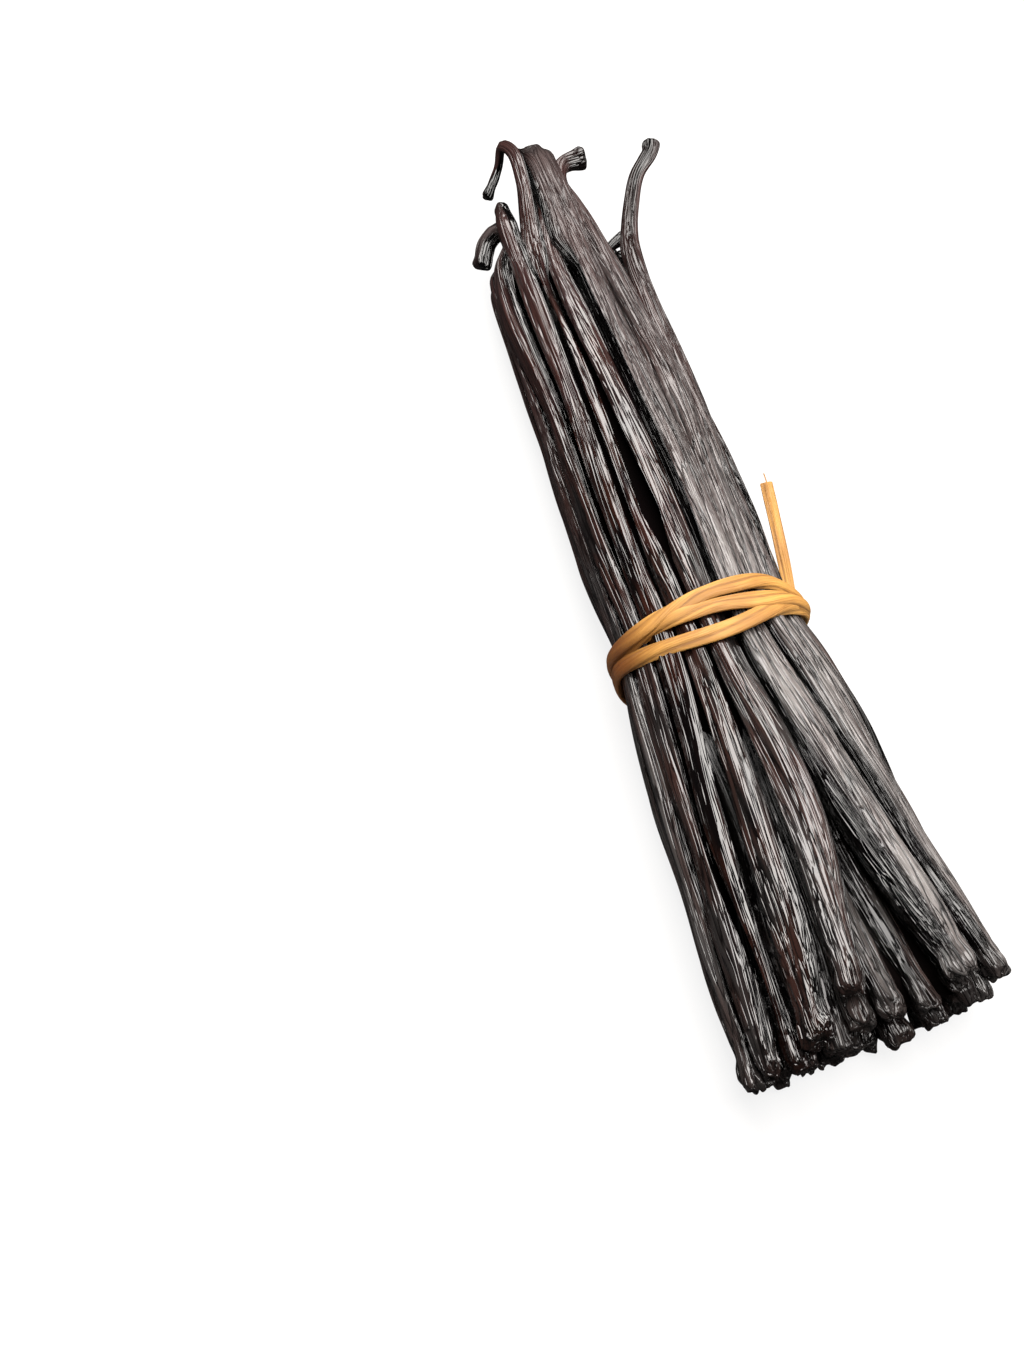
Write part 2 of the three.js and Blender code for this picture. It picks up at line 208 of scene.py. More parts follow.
def bend_along(blank, path, outward, press=1.0, spread=1.0):
    """Moves a blank that lies along y onto a path: x goes out along the normal, z to the side."""
    tangents, normals, sides = frames_along(path, outward)
    length = path_length(path)
    place = np.clip(blank[:, 1] / length, 0, 1) * (len(path) - 1)
    beyond = blank[:, 1] - np.clip(blank[:, 1], 0, length)

    def at(values):
        ticks = np.arange(len(path))
        return np.stack([np.interp(place, ticks, column) for column in values.T], axis=1)

    return (
        at(path)
        + at(tangents) * beyond[:, None]
        + at(normals) * blank[:, :1] * press
        + at(sides) * blank[:, 2:] * spread
    )


# %% [markdown]
# ## The pods' places
#
# Seven pods lie on top and show along most of their length, so each is given its own angles and the
# course of its stem. The others follow in order round the bundle: ten on the flanks and underneath,
# and eleven in a second layer, which shows in the gaps. Small differences between them are drawn from
# a seeded random sequence, so that the bundle is the same each time.
#
# A pod has an angle at its blossom end, under the tie and where its stem starts: `tip`, `tie` and
# `base`. It may have one halfway as well, `low` or `high`. `reach` is the y of its blossom end, and
# `sink` how much deeper that end lies. `girth`, `stem_girth` and `knob` scale the pod, its stem and
# the stem's cut end, and `rim` is how much of a rim the blossom end has, from 0 to 1. `gaps` are the
# widths of the gap to the next pod, and below 0 the two merge. `bloom` is how dusty and dry the skin
# is, from 0 to 1, and `blooms` gives it at distances from the stem's end. Its pale grey is partly
# painted sheen, the broad shine of the light on the pods at the right.

# %% The pods on top
GAP_STATIONS = (-70, -30, -12, 10, 20, 40, 80)  # y of each width in `gaps`
CROWN = [
    dict(tip=152, tie=148, base=150, reach=-77.5, girth=0.92, stem_girth=1.6, knob=0.75, rim=0.1,
         bloom=0.1, gaps=[1.2, 1.2, 0.5, 0.5, 1, 1, 0.8],
         blooms=[(0, 0.2), (2, 0.5), (4, 1), (16, 1), (30, 0.1)],
         stem=[(-11.2, 89.4, 11.5), (-12.2, 93.1, 11), (-14.8, 92, 9.6), (-17.2, 87.6, 8.1)]),
    dict(tip=145, tie=129, base=127, reach=-77, sink=4, girth=0.95, stem_girth=1.7, knob=0.45,
         rim=0.3, bloom=0, gaps=[1.5, 2, 0.6, 0.5, 1, 1, 0.8],
         stem=[(-10.8, 92, 13.5), (-10.8, 97.8, 12.4)]),
    dict(tip=121, tie=111, base=113, reach=-74.5, girth=1.2, stem_girth=0.74, rim=0.9,
         bloom=0.05, gaps=[1.4, 1.8, 0.8, 0.8, 3.2, 1.2, 0.5],
         stem=[(-5.8, 98.5, 16), (-5.6, 107, 15.4), (-7.1, 110.6, 13.2), (-8.4, 108.4, 10),
               (-12.1, 103.4, 8)]),
    dict(tip=99, low=90, tie=93, base=101, reach=-69, girth=1.12, stem_girth=1.3, rim=0.15, bloom=0.1,
         gaps=[3, 1.5, 0.8, 0.9, 1.8, 1.8, 1.4],
         stem=[(-3, 94, 14.5), (-2.6, 100.5, 12), (-2.2, 103, 9.5)]),
    dict(tip=42, tie=65, base=79, reach=-69.5, girth=1.32, stem_girth=2.1, rim=0.5, bloom=0.9,
         gaps=[1, 1.8, 1.2, -0.4, -0.6, -1.4, -1.4],
         stem=[(-1.2, 97, 15.2), (-1.4, 104.2, 13.4), (-1.9, 107.6, 10.4)]),
    dict(tip=5, tie=44, high=42, base=63, reach=-70.5, girth=1.05, stem_girth=1.3, rim=0.4,
         bloom=1, gaps=[0.4, 0.4, 0, -0.4, -1, -1.4, -0.6],
         blooms=[(8, 0), (12, 0.8), (20, 1), (135, 1), (150, 0.8), (180, 0.7)],
         stem=[(2.4, 94, 13.2), (1.9, 100.3, 11.8), (3.4, 104.8, 11), (8.2, 106, 10.4)]),
    dict(tip=-28, tie=27, base=8, reach=-72, girth=1, stem_girth=1.25, knob=0.95, rim=0.6,
         bloom=0.8, blooms=[(3, 0.1), (6, 0.4), (28, 0.3), (44, 0.85), (126, 0.85), (140, 0.3),
                            (162, 0.25), (172, 0.6)],
         stem=[(11.9, 87.5, 9.6), (13.9, 93, 11), (16.3, 98, 12), (20, 102, 13), (20.9, 104.3, 13)]),
]

# %% The pods round the flanks and underneath
FLANK_PODS = 10
FLANK_ENDS = dict(tie=(14, -190), tip=(-48, -184), base=(-12, -186), reach=(-72.5, -77.5))
flank = [
    {key: float(np.interp(index, (0, FLANK_PODS - 1), ends)) for key, ends in FLANK_ENDS.items()}
    for index in range(FLANK_PODS)
]

# %% The pods of the second layer
SECOND_PLACES = [  # angle at the blossom end, under the tie and at the stem, and the end's y
    (143, 150, 150, -77),
    (117, 118, 118, -76),
    (100, 100, 100, -73.5),
    (82, 84, 80, -73),
    (58, 58, 52, -73),
    (28, 24, 12, -71),
    (-18, -20, -24, -73),
    (-50, -50, -48, -74.5),
    (-78, -78, -74, -76),
    (-108, -108, -110, -75.5),
    (-152, -152, -152, -74.5),
]
SECOND_DIP = 2.2  # how much deeper these pods lie between the tie and their blossom ends
TWIG = 5  # the pod of the second layer whose stem shows between two others
second = [
    dict(zip(("tip", "tie", "base", "reach"), places), dip=SECOND_DIP) for places in SECOND_PLACES
]
second[TWIG].update(stem_girth=0.8, stem=[(7.2, 84.9, 8.6), (11.4, 87.9, 8.2)])
print(len(CROWN), "pods on top,", len(flank), "round the flanks,", len(second), "in the second layer")

# %% [markdown]
# ## Random draws
#
# The sequence is a plain linear congruential one. It gives the same numbers in any language, so the
# pods here have the girths and stems of the solids that they stand for.

# %% Seeded differences between the pods
OUTER_INSET = 3.3
SECOND_INSET = 8.7
HIDDEN_REACH = (-77.5, -74.5)
GIRTHS = (0.9, 1.06)
STEM_RUN = (8, 18)
STEM_CURL = (0, 7)
STEM_BOW = 0.3
STEM_DROOP = 0.8
STEM_LOWEST = 2.4
BROKEN_STEMS = [(-190, -160), (-40, 0), (140, 160)]  # the pods whose base has such an angle
BROKEN_RUN = 0.3  # how much of its run such a stem keeps
RIMS = (0.0, 1.0)
USUAL_BLOOM = 0.3
USUAL_GAP = 0.6
SEED = 20


class Draws:
    """A seeded sequence of random numbers."""

    FACTOR = 1664525
    STEP = 1013904223

    def __init__(self, seed):
        self.state = seed

    def between(self, low, high):
        self.state = (self.state * self.FACTOR + self.STEP) % 2**32
        return low + (high - low) * self.state / 2**32


def drawn_stem(base, inset, draws):
    """A stem that runs on from the base of its pod and curls in a little."""
    start = on_outline(BASE, base, inset)
    broken = any(low < base < high for low, high in BROKEN_STEMS)
    run = draws.between(*STEM_RUN) * (BROKEN_RUN if broken else 1)
    curl = draws.between(*STEM_CURL) * np.sign(station_at(BASE)[0] - start[0])
    end = np.array([start[0] + curl, start[1] + run, max(start[2] * STEM_DROOP, STEM_LOWEST)])
    halfway = (start + end) / 2
    halfway[0] -= curl * STEM_BOW
    return [halfway, end]


def complete(pods, inset, draws):
    """Gives each pod what its own values leave open."""
    whole = []
    for pod in pods:
        drawn = dict(
            reach=draws.between(*HIDDEN_REACH),
            girth=draws.between(*GIRTHS),
            stem=drawn_stem(pod["base"], inset, draws),
            stem_girth=1.0,
            sink=0,
            dip=0,
            knob=1.0,
            bloom=USUAL_BLOOM,
            gap=USUAL_GAP,
            inset=inset,
        )
        whole.append({**drawn, **pod})
    return whole


draws = Draws(SEED)
crown = complete(CROWN, OUTER_INSET, draws)
flank = complete(flank, OUTER_INSET, draws)
second = complete(second, SECOND_INSET, draws)

# %% [markdown]
# ## Each pod's course
#
# A pod keeps its angle under the tie and turns a little towards the angles of its two ends, so the
# pods fan out. A thick pod lies deeper, because its skin has to end at the same outline.

# %% The course of a pod
GIRTH_INSET = 3.4
BASE_INSET_SHARE = 0.85


def pod_path(pod):
    """The middle line of a pod from its blossom end to the end of its stem."""
    inset = pod["inset"] + (pod["girth"] - 1) * GIRTH_INSET
    low = pod.get("low", (pod["tie"] + pod["tip"]) / 2)
    high = pod.get("high", (pod["tie"] + pod["base"]) / 2)
    points = [
        on_outline(pod["reach"], pod["tip"], inset + pod["sink"], measured_at=TIP),
        on_outline(LOW, low, inset + pod["dip"]),
        on_outline(UNDER_TIE, pod["tie"], inset),
        on_outline(AT_TIE, pod["tie"], inset),
        on_outline(OVER_TIE, pod["tie"], inset),
        on_outline(HIGH, high, inset),
        on_outline(BASE, pod["base"], inset * BASE_INSET_SHARE),
        *pod["stem"],
    ]
    return smooth_path(points)


# %% [markdown]
# ## The blank of a pod
#
# A straight pod is round enough to be turned: its half outline is drawn once and spun round. The
# blossom end is blunt, with a rim round the scar of the flower. The body is fullest a third of the
# way up, and tapers to a thin stem that ends in a small knob, where it was cut from the vine.

# %% The half outline of a pod
FROM_BLOSSOM_END = [  # y, radius of an end with a rim, radius of a rounded end
    (0.6, 0.0, 0.0),
    (0.4, 0.7, 0.5),
    (0.0, 1.5, 0.9),
    (0.3, 2.15, 1.25),
    (1.2, 2.5, 1.7),
    (2.6, 2.45, 2.1),
    (5.5, 2.15, 2.35),
    (14, 2.8, 2.8),
    (30, 3.5, 3.5),
    (52, 3.7, 3.7),
]
FROM_STEM_END = [  # distance from the end, radius
    (66, 3.6),
    (46, 2.9),
    (32, 2.1),
    (22, 1.55),
    (15, 1.3),
    (10, 1.2),
    (6, 1.2),
    (2.6, 1.35),
    (0.4, 1.5),
    (0.0, 0.9),
    (0.2, 0.0),
]
FULL_RADIUS = 3.7
KNOB_REACH = 6.0
STEM_GIRTH_SETS_IN = (22.0, 46.0)  # distances from the stem end: in full, and not at all
TIE_SQUEEZE_SHARE = 0.9
TIE_SQUEEZE_REACH = 18.0
END_STRETCH = 9.0  # the ends have finer rings over this length
OUTLINE_STEPS = 2000
MERGE_WITHIN = 1e-4


def smooth_step(value, low, high):
    """0 below `low`, 1 above `high`, and a soft rise between."""
    share = min(max((value - low) / (high - low), 0), 1)
    return share * share * (3 - 2 * share)


def ring_places(run, gap, fine_gap):
    """Places along the half outline, close together near both ends."""
    fine = np.arange(0, END_STRETCH, fine_gap)
    middle = np.linspace(END_STRETCH, run - END_STRETCH, int((run - 2 * END_STRETCH) / gap) + 1)
    return np.concatenate([fine, middle, (run - fine)[::-1]])


def half_outline(pod, length, gap, fine_gap):
    """Points (radius, y) of the half outline."""
    corners = [
        (y, rounded + (rimmed - rounded) * pod["rim"]) for y, rimmed, rounded in FROM_BLOSSOM_END
    ]
    for from_end, radius in FROM_STEM_END:
        swell = 1 + (pod["knob"] - 1) * max(0, 1 - from_end / KNOB_REACH)
        swell *= 1 + (pod["stem_girth"] - 1) * (1 - smooth_step(from_end, *STEM_GIRTH_SETS_IN))
        corners.append((length - from_end, radius * swell))
    even = smooth_path(corners, steps=OUTLINE_STEPS)
    run = np.append(0, np.cumsum(np.linalg.norm(np.diff(even, axis=0), axis=1)))
    places = ring_places(run[-1], gap, fine_gap)
    y = np.interp(places, run, even[:, 0])
    radius = np.interp(places, run, even[:, 1])
    near_tie = np.maximum(0, 1 - abs(y + pod["reach"]) / TIE_SQUEEZE_REACH)
    squeeze = 1 - (1 - TIE_SQUEEZE_SHARE) * near_tie
    radius = np.maximum(radius, 0) * pod["girth"] * squeeze
    radius[0] = radius[-1] = 0
    return np.stack([radius, y], axis=1)


def spun(outline, sides):
    """A closed mesh turned round the y axis from its half outline."""
    bm = bmesh.new()
    verts = [bm.verts.new((radius, y, 0)) for radius, y in outline]
    edges = [bm.edges.new(pair) for pair in zip(verts, verts[1:])]
    bmesh.ops.spin(
        bm, geom=verts + edges, cent=(0, 0, 0), axis=(0, 1, 0),
        angle=math.tau, steps=sides, use_merge=True,
    )
    bmesh.ops.remove_doubles(bm, verts=bm.verts, dist=MERGE_WITHIN)
    bmesh.ops.recalc_face_normals(bm, faces=bm.faces)
    for face in bm.faces:
        face.smooth = True
    return bm


# %% [markdown]
# ## Wrinkles
#
# As a pod dries it shrinks in girth and hardly in length, so its skin folds into furrows that run
# lengthwise, part and join again. The absolute value of a noise has just that form: rounded ridges
# with sharp valleys where the noise passes through zero. The noise is read in the pod's own straight
# coordinates, stretched along it. Two sizes are carved in the mesh, and the finest in the material.

# %% Relief on the blank
FOLD = dict(across=2.3, along=42.0, depth=0.8)
FURROW = dict(across=0.95, along=24.0, depth=0.4)
LUMP = dict(across=4.8, along=20.0, depth=1.3)
PUCKER = dict(across=1.5, along=3.4, depth=1.1)
CRUMPLE = dict(across=0.7, along=1.6, depth=0.35)
PUCKER_REACH = 9.0
RAGGED_RIM = 1.5  # how far the rim of a blossom end is out of line
RIM_RADIUS = 2.0  # where it is fully ragged
STEM_PUCKER_SHARE = 0.35
LOBES = 3
LOBE_DEPTH = 0.045
DRY_IS_SMOOTHER = 0.6
MEAN_RIDGE = 0.28  # taken off, so that the ridges don't make a pod thicker
TWIST = 0.9  # the furrows turn this far round a pod at most, in radians
END_TILT = 0.28  # the steepest slope of a blossom end
TILT_REACH = 9.0
ALMOST_NOTHING = 1e-6  # keeps a division from failing


def read_noise(points, across, along, offset):
    """Perlin noise at each point, stretched along y."""
    scaled = points / (across, along, across) + offset
    return np.fromiter((noise.noise(p) for p in scaled.tolist()), float, len(points))


def carve(blank, length, offset, draws, fine=True, dry=0.0):
    """Moves the vertices of a straight pod in and out, and gives their straight coordinates."""
    radius = np.hypot(blank[:, 0], blank[:, 2])
    out = np.stack([blank[:, 0], np.zeros(len(blank)), blank[:, 2]], axis=1)
    out /= np.maximum(radius, ALMOST_NOTHING)[:, None]
    turn = np.arctan2(blank[:, 2], blank[:, 0])
    twisted = turn + draws.between(-TWIST, TWIST) * blank[:, 1] / length
    rest = np.stack([radius * np.cos(twisted), blank[:, 1], radius * np.sin(twisted)], axis=1)

    thick = np.clip(radius / FULL_RADIUS, 0, 1)
    smoothness = 1 - DRY_IS_SMOOTHER * dry
    folds = abs(read_noise(rest, FOLD["across"], FOLD["along"], offset))
    depth = (folds - MEAN_RIDGE) * FOLD["depth"] * smoothness * thick
    if fine:
        furrows = abs(read_noise(rest, FURROW["across"], FURROW["along"], offset))
        depth += (furrows - MEAN_RIDGE) * FURROW["depth"] * smoothness * np.sqrt(thick)
    depth += read_noise(rest, LUMP["across"], LUMP["along"], offset) * LUMP["depth"] * thick
    lobe_phase = draws.between(0, math.tau)
    depth += radius * LOBE_DEPTH * np.cos(LOBES * turn + lobe_phase)
    near_tip = np.clip(1 - blank[:, 1] / PUCKER_REACH, 0, 1)
    near_stem_end = np.clip(1 - (length - blank[:, 1]) / PUCKER_REACH, 0, 1)
    pucker = read_noise(rest, PUCKER["across"], PUCKER["along"], offset) * PUCKER["depth"]
    pucker += read_noise(rest, CRUMPLE["across"], CRUMPLE["along"], offset) * CRUMPLE["depth"]
    depth += pucker * (near_tip + near_stem_end * STEM_PUCKER_SHARE)
    carved = blank + out * (depth * np.clip(radius, 0, 1))[:, None]
    ragged = read_noise(rest + offset, PUCKER["across"], PUCKER["along"], 0) * RAGGED_RIM
    carved[:, 1] += ragged * near_tip * np.clip(radius / RIM_RADIUS, 0, 1)

    tilt = draws.between(-END_TILT, END_TILT)
    lean = draws.between(0, math.tau)
    fade = np.clip(1 - blank[:, 1] / TILT_REACH, 0, 1) ** 2
    across = blank[:, 0] * math.cos(lean) + blank[:, 2] * math.sin(lean)
    carved[:, 1] += tilt * across * fade
    return carved, rest + offset


# %% [markdown]
# ## Meshes and attributes
#
# A finished blank becomes a mesh, whose vertices are then placed all at once, which is much faster
# than one by one. An attribute keeps one value for each vertex, and the material reads it again.

# %% Meshes and their attributes
def set_attributes(mesh, **attributes):
    """Stores one value, or one vector, for each vertex under each name."""
    for name, values in attributes.items():
        kind, key = ("FLOAT_VECTOR", "vector") if np.ndim(values) > 1 else ("FLOAT", "value")
        attribute = mesh.attributes.new(name, kind, "POINT")
        attribute.data.foreach_set(key, np.asarray(values, np.float32).ravel())


def finished_mesh(bm, name):
    mesh = bpy.data.meshes.new(name)
    bm.to_mesh(mesh)
    bm.free()
    return mesh


def vertices_of(mesh):
    points = np.empty(len(mesh.vertices) * 3, np.float32)
    mesh.vertices.foreach_get("co", points)
    return points.reshape(-1, 3).astype(float)


def place_vertices(mesh, points):
    mesh.vertices.foreach_set("co", to_frame(points).astype(np.float32).ravel())
    mesh.update()


# %% [markdown]
# ## Gaps between the pods
#
# Soft pods that are tied together press each other flat. So each outer pod is pressed back from the
# plane midway to its neighbour: no two skins cross, and a narrow gap with flat walls is left. The
# gaps of the pods on top are given, and the others vary at random. Hardly any light gets into a gap,
# so an attribute tells the material how deep in one a point of the skin lies, and the material paints
# the skin there near black: painted shade.

# %% Press the pods apart
PATTERN_STEP = 40.0  # the patterns of two pods are this far apart
GAP_VARIES = 1.6  # how much a gap varies, as a share of its mean
GAP_ALONG = 14.0  # and over about what length
GAP_AT_TIE = 0.35  # the share of it that the tie leaves
GAP_OPENS_OVER = 30.0
PRESSED_UP_TO = 84.0  # above this y the stems are free
PRESSING_SETS_IN = 8.0  # over this length at either end
OPEN_GAP = 0.5  # a gap as wide as this is dark
SHUT_SIDE = 4.0  # how soon, from a pod's middle outwards, a skin counts as shut against the next

outer_pods = crown + flank
for number, pod in enumerate(outer_pods + second):
    pod.update(number=number, path=pod_path(pod))


def facing_out(points, centres):
    """How far each point of a skin faces out of the bundle: 1 outwards, 0 at the sides."""
    stations = np.array([station_at(y) for y in centres[:, 1]])
    axis = np.stack([stations[:, 0], centres[:, 1], stations[:, 3] + stations[:, 2]], axis=1)
    offset = points - centres
    size = np.maximum(np.linalg.norm(offset, axis=1), ALMOST_NOTHING)
    return np.sum(offset * unit(centres - axis), axis=1) / size


def width_of_gap(ys, pair, pod):
    """How wide the gap between a pod and the next is, along the bundle."""
    if "gaps" in pod:
        return np.interp(ys, GAP_STATIONS, pod["gaps"])
    along = np.stack([ys * 0, ys, ys * 0], axis=1)
    varied = 1 + GAP_VARIES * read_noise(along, 1.0, GAP_ALONG, pair * PATTERN_STEP)
    opening = np.clip(abs(ys) / GAP_OPENS_OVER, GAP_AT_TIE, 1)
    return pod["gap"] * np.maximum(varied, 0) * opening


def press_apart(points, centres, pod):
    """Presses a skin flat where it would cross the plane between its pod and a neighbour.

    Returns how far each point was moved, and how open the gap beside it is.
    """
    number = pod["number"]
    ys = centres[:, 1]
    pressed = np.zeros(len(points))
    openness = np.ones(len(points))
    for pair, other in ((number, number + 1), (number - 1, number - 1)):
        pair %= len(outer_pods)
        neighbour = outer_pods[other % len(outer_pods)]
        path = neighbour["path"]
        path = path[: np.argmax(path[:, 1] > PRESSED_UP_TO)]
        towards = np.stack([np.interp(ys, path[:, 1], path[:, axis]) for axis in (0, 2)], axis=1)
        towards -= centres[:, (0, 2)]
        distance = np.linalg.norm(towards, axis=1)
        towards /= distance[:, None]
        share = pod["girth"] / (pod["girth"] + neighbour["girth"])
        width = width_of_gap(ys, pair, outer_pods[pair])
        reach = np.sum((points - centres)[:, (0, 2)] * towards, axis=1)
        over = reach - (distance * share - width / 2)
        shut = 1 - np.clip(width / OPEN_GAP, 0, 1)
        openness = np.minimum(openness, 1 - shut * np.clip(reach / distance * SHUT_SIDE, 0, 1))
        beside = np.clip((ys - path[0, 1]) / PRESSING_SETS_IN, 0, 1)
        beside *= np.clip((PRESSED_UP_TO - ys) / PRESSING_SETS_IN, 0, 1)
        pressed = np.maximum(pressed, over * beside)
        points[:, (0, 2)] -= towards * (np.maximum(over, 0) * beside)[:, None]
    return pressed, openness


# %% How much painted shade a gap gets
GAP_FACES = (0.65, 0.3)  # how far a skin faces out where its gap begins, and where it is full
PRESSED_IS_GAP = 0.5  # a skin that was pressed in by this much is the wall of a gap
TIP_IS_OPEN = ((1.0, 6.0), (0.3, 1.0))  # light gets in near the tips: distances, and the share left
# painted shade on the second layer, which lies under the other pods
SHADE_UNDER_OTHERS = ((9, 28), (0, 0.95))  # from the tip, and how dark the second layer is there


def in_gap(facing, pressed, openness, from_tip):
    """How deep in the gaps between the pods each point lies, which sets its painted shade: 0 outside, 1
    fully dark.
    """
    turned_in = np.interp(-facing, [-value for value in GAP_FACES], (0, 1)) * openness
    wall = np.clip(pressed / PRESSED_IS_GAP, 0, 1)
    return np.maximum(turned_in, wall) * np.interp(from_tip, *TIP_IS_OPEN)


# %% [markdown]
# ## One finished pod
#
# The wrinkled blank is bent along its course, pressed a little flat against the bundle, pressed
# apart from its neighbours, and pressed flat where it lies on the table. Five attributes go with it,
# for the material: its straight coordinates, how dusty its skin is, how deep in a gap it lies, and
# how far it is from the blossom end and from the end of the stem.

# %% Make one pod
FLATTENING = 0.88
BROADENING = 1.06
ON_TABLE = 0.0


def make_pod(name, pod, draws, sides, gap, fine_gap, fine):
    pod = {"rim": draws.between(*RIMS), **pod}
    path = pod["path"]
    length = path_length(path)
    mesh = finished_mesh(spun(half_outline(pod, length, gap, fine_gap), sides), name)
    blank = vertices_of(mesh)
    offset = pod["number"] * PATTERN_STEP
    carved, rest = carve(blank, length, offset, draws, fine, pod["bloom"])
    turn = math.radians(pod["tip"])
    outward = (math.cos(turn), 0, math.sin(turn))
    bent = bend_along(carved, path, outward, FLATTENING, BROADENING)
    centre = bend_along(blank * (0, 1, 0), path, outward)
    pressed, openness = 0.0, 1.0
    if pod["number"] < len(outer_pods):
        pressed, openness = press_apart(bent, centre, pod)
    bent[:, 2] = np.maximum(bent[:, 2], ON_TABLE)
    place_vertices(mesh, bent)
    from_tip = blank[:, 1]
    from_end = length - from_tip
    bloom = np.interp(from_end, *np.array(pod.get("blooms", [(0, pod["bloom"])])).T)
    # how much painted shade each point gets in the gaps
    depth = in_gap(facing_out(bent, centre), pressed, openness, from_tip)
    # the second layer gets painted shade under the other pods
    if pod["inset"] > OUTER_INSET:
        depth = np.maximum(depth, np.interp(from_tip, *SHADE_UNDER_OTHERS))
    set_attributes(
        mesh, rest=rest, bloom=bloom, in_gap=depth, from_tip=from_tip, from_stem_end=from_end
    )
    return put_in_scene(name, mesh)


def join(objects, name):
    """Joins finished pods to one piece."""
    with bpy.context.temp_override(
        active_object=objects[0], object=objects[0],
        selected_objects=objects, selected_editable_objects=objects,
    ):
        bpy.ops.object.join()
    joined = objects[0]
    joined.name = name
    joined.data.name = name
    triangles = sum(len(face.vertices) - 2 for face in joined.data.polygons)
    print(name, "has", triangles, "triangles")
    return joined


# %% [markdown]
# ## How fine each layer is
#
# What shows from close up has most faces. A piece stays under 200,000 triangles, so the pods on top
# make two pieces and so do the flanks.

# %% Make the layers of pods
TOP_DETAIL = dict(sides=96, gap=0.95, fine_gap=0.3, fine=True)
FLANK_DETAIL = dict(sides=72, gap=1.1, fine_gap=0.35, fine=True)
SECOND_DETAIL = dict(sides=44, gap=1.4, fine_gap=0.4, fine=False)


def make_layer(name, pods, detail):
    made = [make_pod(f"{name}_{index}", pod, draws, **detail) for index, pod in enumerate(pods)]
    return join(made, name)


DARK_TOP_PODS = 4
LEFT_FLANK_FROM = 5
pods_on_top_left = make_layer("pods_on_top_left", crown[:DARK_TOP_PODS], TOP_DETAIL)
pods_on_top_right = make_layer("pods_on_top_right", crown[DARK_TOP_PODS:], TOP_DETAIL)
pods_right_flank = make_layer("pods_right_flank", flank[:LEFT_FLANK_FROM], FLANK_DETAIL)
pods_left_flank = make_layer("pods_left_flank", flank[LEFT_FLANK_FROM:], FLANK_DETAIL)
pods_second_layer = make_layer("pods_second_layer", second, SECOND_DETAIL)

# %% [markdown]
# ## The core
#
# The pods in the middle of a bundle can't be seen. One dark body stands for them, so that no light
# comes through the gaps. Its rings follow the outline, close under the skin at the tie and above it,
# and deeper between the tie and the blossom ends, where the second layer shows.

# %% The core
CORE_INSETS = {  # y: how deep under the outline
    -71: 11.0, -67: 8.5, -60: 9.0, -34: 9.5, -14: 4.6, 14: 3.4, 46: 3.6, 68: 4.4,
}
CORE_SIDES = 48
CORE_RING_GAP = 4.0


def make_core():
    ends = min(CORE_INSETS), max(CORE_INSETS)
    ys = np.linspace(*ends, int((ends[1] - ends[0]) / CORE_RING_GAP) + 1)
    rings = [(1.0, y) for y in ys]
    bm = spun(np.array([(0.0, ends[0]), *rings, (0.0, ends[1])]), CORE_SIDES)
    mesh = finished_mesh(bm, "core")
    points = []
    for x, y, z in vertices_of(mesh):
        inset = float(np.interp(y, list(CORE_INSETS), list(CORE_INSETS.values())))
        middle, _, half_height, lift = station_at(y)
        edge = on_outline(y, math.degrees(math.atan2(z, x)), inset)
        centre = np.array([middle, y, lift + half_height])
        points.append(centre + (edge - centre) * math.hypot(x, z))
    place_vertices(mesh, points)
    return put_in_scene("core", mesh)


core = make_core()

# %% [markdown]
# ## Raffia
#
# Raffia is the skin of a palm leaf, peeled off in strips and dried. A strip curls in on itself
# lengthwise, so it looks like a flat cord with a few folds that wind slowly round it. Like a pod,
# each strip is turned straight, folded while it is straight and then bent along its course. Three
# strands go round the bundle, and their seam lies underneath.

# %% A strip of raffia
BAND_SIDES = 30
BAND_STEP = 0.4
BAND_EDGE = 0.06
FOLDS = 3
FOLD_DEPTH = 0.26
FOLD_WINDS_IN = 80.0  # a fold goes once round the strip in this length
FOLD_WANDER = 0.9
SWELL = dict(across=40.0, along=11.0, depth=0.14)


def make_band(name, path, outward, number, width, thickness, winding=1.0):
    """A folded strip, with its flat side to `outward`."""
    length = path_length(path)
    ys = np.linspace(BAND_EDGE, length - BAND_EDGE, max(3, round(length / BAND_STEP)))
    outline = [(0, 0), (1 - BAND_EDGE, 0), *((1, y) for y in ys), (1 - BAND_EDGE, length), (0, length)]
    mesh = finished_mesh(spun(np.array(outline), BAND_SIDES), name)
    blank = vertices_of(mesh)
    along = blank * (0, 1, 0)
    offset = number * PATTERN_STEP
    wander = read_noise(along, SWELL["across"], SWELL["along"], offset)
    wind = np.arctan2(blank[:, 0], blank[:, 2])
    wind += (math.tau * blank[:, 1] / FOLD_WINDS_IN + wander * FOLD_WANDER) * winding
    in_fold = 1 - abs(np.cos(wind * FOLDS / 2))
    reach = (1 - FOLD_DEPTH * in_fold) * (1 + wander * SWELL["depth"])
    folded = blank * np.stack([reach * thickness / 2, np.ones(len(blank)), reach * width / 2], axis=1)
    place_vertices(mesh, bend_along(folded, path, outward))
    rest = np.stack([np.cos(wind), blank[:, 1], np.sin(wind)], axis=1) * (width / 2, 1, width / 2)
    set_attributes(mesh, rest=rest + offset, in_fold=in_fold)
    return put_in_scene(name, mesh)


